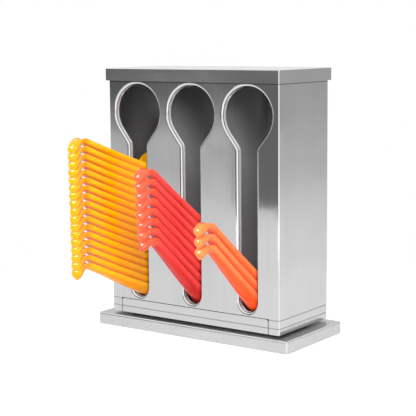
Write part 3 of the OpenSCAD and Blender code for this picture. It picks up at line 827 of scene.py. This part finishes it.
@dataclass
class SpoonPile:
    """A pile of nested spoons in one slot. The sheet around them doesn't mirror them.

    Attributes:
        colour: Name of the plastic's colour, also the nodes' prefix.
        count: Number of spoons.
        slot_x: Centre line of the slot.
        rises: Rise of the lowest and the highest handle in degrees.
        out: How far the spoons are drawn forward along their handles.
        form: Shape of every spoon in the pile.
    """

    colour: str
    count: int
    slot_x: float
    rises: Pair
    out: float = 0.0
    form: SpoonForm = field(default_factory=SpoonForm)

    def node(self, n: int) -> str:
        """Name of spoon n's node."""
        return f"{self.colour}_spoon_{n:02d}"

    def body(self, n: int) -> str:
        """Body that spoon n moves with."""
        return f"{self.colour}_top_spoon" if n == self.count else f"{self.colour}_pile"

    def tilt(self, n: int) -> float:
        """Turn of spoon n from its drawn place, in radians."""
        share = (n - 1) / (self.count - 1)
        return math.radians(self.form.rise - mix(*self.rises, share))

    def mesh(self) -> bpy.types.Mesh:
        """Skin the form's sections.

        Returns:
            The mesh that every spoon of the pile shows.
        """
        rings = [self.form.ring(station) for station in self.form.stations()]
        sides = len(rings[0])
        points = [point for ring in rings for point in ring]
        faces = []
        for k in range(len(rings) - 1):
            for j in range(sides):
                a, b = k * sides + j, k * sides + (j + 1) % sides
                faces.append((a, b, b + sides, a + sides))
        for k, turned in ((0, True), (len(rings) - 1, False)):
            centre = sum((Vector(p) for p in rings[k]), Vector()) / sides
            points.append(tuple(centre))
            for j in range(sides):
                a, b = k * sides + j, k * sides + (j + 1) % sides
                faces.append((b, a, len(points) - 1) if turned else (a, b, len(points) - 1))
        mesh = bpy.data.meshes.new(f"{self.colour}_spoon_mesh")
        mesh.from_pydata(points, [], faces)
        mesh.shade_smooth()
        return mesh

    def build(self, finishes: Finishes) -> list[bpy.types.Object]:
        """Place the spoons where their solids are.

        Args:
            finishes: The holder's materials.

        Returns:
            The spoons.
        """
        spoons = []
        slot = f"{self.colour}_plastic"
        mesh = self.mesh()
        mesh.materials.append(finishes.by_slot[slot])
        front_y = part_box("front_panel")[0].y
        forward = self.out * self.form.along(self.form.rise)
        drawn = Matrix.Translation((0.0, forward.x, forward.y))
        for n in range(1, self.count + 1):
            node = self.node(n)
            turn = Matrix.Rotation(self.tilt(n), 4, "X") @ drawn
            top = max((turn @ v.co).z for v in mesh.vertices)
            low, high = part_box(node)
            place = Matrix.Translation((self.slot_x, front_y, high.z - top)) @ turn
            spoon = bpy.data.objects.new(f"{node}_moulded", mesh)
            bpy.context.scene.collection.objects.link(spoon)
            spoon.matrix_world = place
            spoon.visible_glossy = False
            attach(spoon, self.body(n))
            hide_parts(node)
            spoons.append(spoon)
            reach = min((place @ v.co).y for v in mesh.vertices)
            log.info("spoon %s: front end off by %.1f mm", node, (reach - low.y) / MM)
        return spoons


@dataclass
class Camera:
    """The camera at the photograph's viewing angle.

    Attributes:
        place: Its place in the frame.
        yaw: Turn about the upright, degrees from looking along +Y.
        pitch: Degrees downwards.
        roll: Degrees of roll.
        lens: Focal length in millimetres on the sensor below.
        sensor: Width of the sensor in millimetres.
        reach: Distance up to which it sees.
    """

    place: Point = (0.8545, -1.20105, 0.3611)
    yaw: float = -35.85
    pitch: float = 8.09
    roll: float = -0.53
    lens: float = 104.36
    sensor: float = 36.0
    reach: float = 60.0

    def build(self) -> None:
        """Make the camera and put the scene through it."""
        yaw, pitch, roll = (math.radians(a) for a in (self.yaw, self.pitch, self.roll))
        ahead = Vector((math.sin(yaw) * math.cos(pitch), math.cos(yaw) * math.cos(pitch), -math.sin(pitch)))
        level = Vector((math.cos(yaw), -math.sin(yaw), 0.0))
        upright = level.cross(ahead)
        right = math.cos(roll) * level + math.sin(roll) * upright
        up = right.cross(ahead)
        data = bpy.data.cameras.new("camera")
        data.lens = self.lens
        data.sensor_width = self.sensor
        data.clip_end = self.reach
        camera = bpy.data.objects.new("camera", data)
        bpy.context.scene.collection.objects.link(camera)
        turn = Matrix((right, up, -ahead)).transposed().to_4x4()
        camera.matrix_world = Matrix.Translation(self.place) @ turn
        bpy.context.scene.camera = camera


@dataclass(frozen=True)
class Softbox:
    """A soft square lamp aimed at the object.

    Attributes:
        name: Name of the lamp.
        place: Its place.
        size: Its side in metres.
        power: Its power in watts.
        mirrored: Whether gloss and metal show it.
        aim: The point it faces.
    """

    name: str
    place: Point
    size: float
    power: float
    mirrored: bool = False
    aim: Point = (0.0, -0.06, 0.15)

    def build(self) -> bpy.types.Object:
        """Make the lamp.

        Returns:
            The lamp.
        """
        data = bpy.data.lights.new(self.name, "AREA")
        data.size = self.size
        data.energy = self.power
        lamp = bpy.data.objects.new(self.name, data)
        bpy.context.scene.collection.objects.link(lamp)
        turn = (Vector(self.aim) - Vector(self.place)).to_track_quat("-Z", "Y").to_matrix().to_4x4()
        lamp.matrix_world = Matrix.Translation(self.place) @ turn
        lamp.visible_glossy = self.mirrored
        return lamp


@dataclass(frozen=True)
class Studio:
    """Pale floor, white surround and soft lamps.

    The sheet mirrors the floor, which is brightest round the object and fades with distance, and
    beyond it the surround: dark ahead of the front, mid grey behind the right side, white elsewhere.

    Attributes:
        floor_r: Radius of the floor.
        floor_sides: Number of its straight sides.
        ahead: Level direction away from the front's mirror image towards the one behind the side.
        across: Level direction square to that, to the right.
        card: Left and right end, place in y and height of a grey card.
        diffuse_level: Strength of the surround for all light but gloss.
        lamps: The soft lamps.
        glint: A lamp that only gives the hooks their sharp highlights.
    """

    floor_r: float = 3.4
    floor_sides: int = 96
    ahead: Point = (0.594, 0.804, 0.0)
    across: Point = (0.804, -0.594, 0.0)
    card: tuple[Pair, float, float] = ((-0.6, 0.4), -1.02, 0.277)
    diffuse_level: float = 0.6
    lamps: tuple[Softbox, ...] = (
        Softbox("key_lamp", (1.3, -1.4, 1.5), 1.2, 58.0),
        Softbox("left_lamp", (-1.2, -1.5, 1.3), 1.0, 24.0),
        Softbox("back_lamp", (-0.5, 1.6, 1.9), 0.9, 16.0),
    )
    glint: Softbox = Softbox("glint_lamp", (-1.35, -1.65, 1.5), 1.05, 70.0, mirrored=True)

    # Strength of the wall that the front mirrors, left and right, and half the width of the change
    WALL: ClassVar[Pair] = (0.11, 0.23)
    WALL_EDGE: ClassVar[float] = 0.09
    # Slopes of the sight line between which the wall's brighter foot fades, and how much brighter it is
    FOOT: ClassVar[Pair] = (-0.078, -0.045)
    FOOT_GAIN: ClassVar[float] = 3.2
    # Shares of a direction along ahead between which the wall turns white, and white turns to the
    # grey behind the side
    FRONT: ClassVar[Pair] = (-0.93, -0.68)
    SIDE: ClassVar[Pair] = (0.7, 0.95)
    SIDE_GREY: ClassVar[float] = 0.5
    # White of the floor's paint, its glow to the eye and the distances over which its shadows fade
    PAINT: ClassVar[float] = 0.86
    GLOW: ClassVar[float] = 0.3
    SHADOW: ClassVar[Pair] = (0.24, 0.5)
    # Distances over which the floor's mirror image fades, and what is left of it
    FLOOR_FADE: ClassVar[Pair] = (0.3, 2.2)
    FLOOR_FAR: ClassVar[float] = 0.62
    # Direction of the floor's brighter part, the shares along it and the distances over which it
    # begins, and how much brighter it is
    BRIGHT_WAY: ClassVar[Point] = (0.6, -0.8, 0.0)
    BRIGHT_SHARES: ClassVar[Pair] = (0.45, 0.75)
    BRIGHT_FROM: ClassVar[Pair] = (0.45, 0.9)
    BRIGHT_GAIN: ClassVar[float] = 0.5
    # Strength of the grey card
    CARD_GREY: ClassVar[float] = 0.18

    def world(self) -> None:
        """Surround: white to the camera, shaded by direction in gloss, level for all other light."""
        world = bpy.data.worlds.new("studio")
        world.use_nodes = True
        bpy.context.scene.world = world
        graph = NodeGraph(world.node_tree)
        way = graph.add("TexCoord").outputs["Generated"]
        facing = graph.along(way, self.ahead)
        aside = graph.along(way, self.across)
        height = graph.add("SeparateXYZ", {0: way}).outputs["Z"]
        wall = graph.maths("MULTIPLY", graph.span(aside, -self.WALL_EDGE, self.WALL_EDGE, *self.WALL),
                           graph.span(height, *self.FOOT, self.FOOT_GAIN, 1.0))
        dark = graph.maths("ADD", wall, graph.span(facing, *self.FRONT, 0.0, 1.0, smooth=True))
        behind = graph.span(facing, *self.SIDE, 1.0, self.SIDE_GREY, smooth=True)
        gloss = graph.maths("MULTIPLY", graph.maths("MINIMUM", dark, 1.0), behind)
        paths = graph.add("LightPath")
        ends = {"Factor": paths.outputs["Is Glossy Ray"], "A": self.diffuse_level, "B": gloss}
        level = graph.add("Mix", ends, data_type="FLOAT").outputs["Result"]
        seen = graph.maths("MAXIMUM", paths.outputs["Is Camera Ray"], paths.outputs["Is Transmission Ray"])
        ends = {"Factor": seen, "A": level, "B": 1.0}
        strength = graph.add("Mix", ends, data_type="FLOAT").outputs["Result"]
        white = graph.add("Background", {"Color": WHITE, "Strength": strength})
        graph.add("OutputWorld", {"Surface": white.outputs[0]})

    def floor(self) -> None:
        """Round floor, a fixed white to the eye except for the object's shadow."""
        turns = [2 * math.pi * k / self.floor_sides for k in range(self.floor_sides)]
        rim = [(self.floor_r * math.cos(turn), self.floor_r * math.sin(turn), 0) for turn in turns]
        mesh = bpy.data.meshes.new("floor")
        mesh.from_pydata(rim, [], [tuple(range(self.floor_sides))])
        mesh.materials.append(self.floor_material())
        obj = bpy.data.objects.new("floor", mesh)
        bpy.context.scene.collection.objects.link(obj)

    def floor_material(self) -> bpy.types.Material:
        """Matt white paint that glows a little to the eye and fades with distance in gloss.

        Returns:
            The material.
        """
        made = bpy.data.materials.new("floor_paint")
        made.use_nodes = True
        graph = NodeGraph(made.node_tree)
        place = graph.add("NewGeometry").outputs["Position"]
        away = graph.add("VectorMath", {0: place}, operation="LENGTH").outputs["Value"]
        paths = graph.add("LightPath")
        paint = graph.add("BsdfDiffuse", {"Color": (self.PAINT, self.PAINT, self.PAINT, 1.0)})
        near = graph.span(away, *self.FLOOR_FADE, 1.0, self.FLOOR_FAR, smooth=True)
        towards = graph.add("VectorMath", {0: place}, operation="NORMALIZE").outputs["Vector"]
        right = graph.along(towards, self.BRIGHT_WAY)
        gain = graph.span(right, *self.BRIGHT_SHARES, 0.0, self.BRIGHT_GAIN, smooth=True)
        bright = graph.maths("MULTIPLY", gain, graph.span(away, *self.BRIGHT_FROM, 0.0, 1.0, smooth=True))
        gloss = graph.add("Emission", {"Color": WHITE, "Strength": graph.maths("ADD", near, bright)})
        glow = graph.add("Emission", {"Color": WHITE, "Strength": self.GLOW})
        lit = graph.add("AddShader", {0: paint.outputs[0], 1: glow.outputs[0]})
        white = graph.add("Emission", {"Color": WHITE, "Strength": 1.0})
        far = graph.span(away, *self.SHADOW, 0.0, 1.0, smooth=True)
        eye = graph.add("MixShader", {0: far, 1: lit.outputs[0], 2: white.outputs[0]})
        camera, glossy = (paths.outputs[f"Is {kind} Ray"] for kind in ("Camera", "Glossy"))
        seen = graph.add("MixShader", {0: camera, 1: paint.outputs[0], 2: eye.outputs[0]})
        mirrored = graph.add("MixShader", {0: glossy, 1: seen.outputs[0], 2: gloss.outputs[0]})
        graph.add("OutputMaterial", {"Surface": mirrored.outputs[0]})
        return made

    def flag(self) -> None:
        """Low grey card ahead of the front that only gloss sees."""
        (left, right), y, top = self.card
        mesh = bpy.data.meshes.new("card")
        mesh.from_pydata([(left, y, 0), (right, y, 0), (right, y, top), (left, y, top)], [], [(0, 1, 2, 3)])
        made = bpy.data.materials.new("card_paper")
        made.use_nodes = True
        graph = NodeGraph(made.node_tree)
        clear = graph.add("BsdfTransparent")
        grey = graph.add("Emission", {"Color": WHITE, "Strength": self.CARD_GREY})
        seen = graph.add("MixShader", {
            0: graph.add("LightPath").outputs["Is Glossy Ray"], 1: clear.outputs[0], 2: grey.outputs[0]})
        graph.add("OutputMaterial", {"Surface": seen.outputs[0]})
        mesh.materials.append(made)
        obj = bpy.data.objects.new("card", mesh)
        bpy.context.scene.collection.objects.link(obj)

    def build(self) -> None:
        """Set the studio up."""
        bpy.context.scene.view_settings.view_transform = "Standard"
        Camera().build()
        self.world()
        self.floor()
        self.flag()
        for lamp in self.lamps:
            lamp.build()

    def shine(self, glossy: list[bpy.types.Object]) -> None:
        """Add the lamp for highlights.

        Args:
            glossy: The objects that show it.
        """
        lamp = self.glint.build()
        lamp.visible_diffuse = False
        lamp.light_linking.receiver_collection = bpy.data.collections.new("glossy")
        for obj in glossy:
            lamp.light_linking.receiver_collection.objects.link(obj)
        log.info("highlights on %d objects", len(glossy))


def holder_parts() -> list[SheetWork]:
    """Sheet sub-assemblies of the holder, from the plinth up.

    Returns:
        The sub-assemblies.
    """
    return [
        SheetWork("plinth", {
            "base_plinth": "plinth_steel", "plinth_bottom_plate": "inner_steel",
            "riser_bars": "inner_steel", "base_studs": "inner_steel", "base_nuts": "inner_steel",
        }),
        SheetWork("box", {
            "front_panel": "front_steel", "left_side_panel": "side_steel",
            "right_side_panel": "side_steel", "back_panel": "side_steel", "floor_pan": "inner_steel",
            "left_partition": "inner_steel", "right_partition": "inner_steel",
            "perforated_floor": "inner_steel",
        }),
        SheetWork("drip tray", {"drip_tray_pan": "tray_steel", "drip_tray_front": "tray_steel"}),
        SheetWork("lid", {"lid_cap": "lid_steel", "lid_locating_strips": "inner_steel"}),
    ]


def main() -> None:
    """Build the studio and dress the holder."""
    logging.basicConfig(level=logging.INFO, format="%(name)s: %(message)s")
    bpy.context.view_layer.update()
    studio = Studio()
    studio.build()
    finishes = Finishes()
    for part in holder_parts():
        part.build(finishes)
    slot_pitch = 81 * MM
    piles = [
        SpoonPile("yellow", count=17, slot_x=-slot_pitch, rises=(24.3, 22.0), out=5 * MM),
        SpoonPile("red", count=8, slot_x=0.0, rises=(43.3, 39.2)),
        SpoonPile("orange", count=3, slot_x=slot_pitch, rises=(43.0, 41.5)),
    ]
    spoons = [spoon for pile in piles for spoon in pile.build(finishes)]
    studio.shine(spoons)


if __name__ == "__main__":
    main()
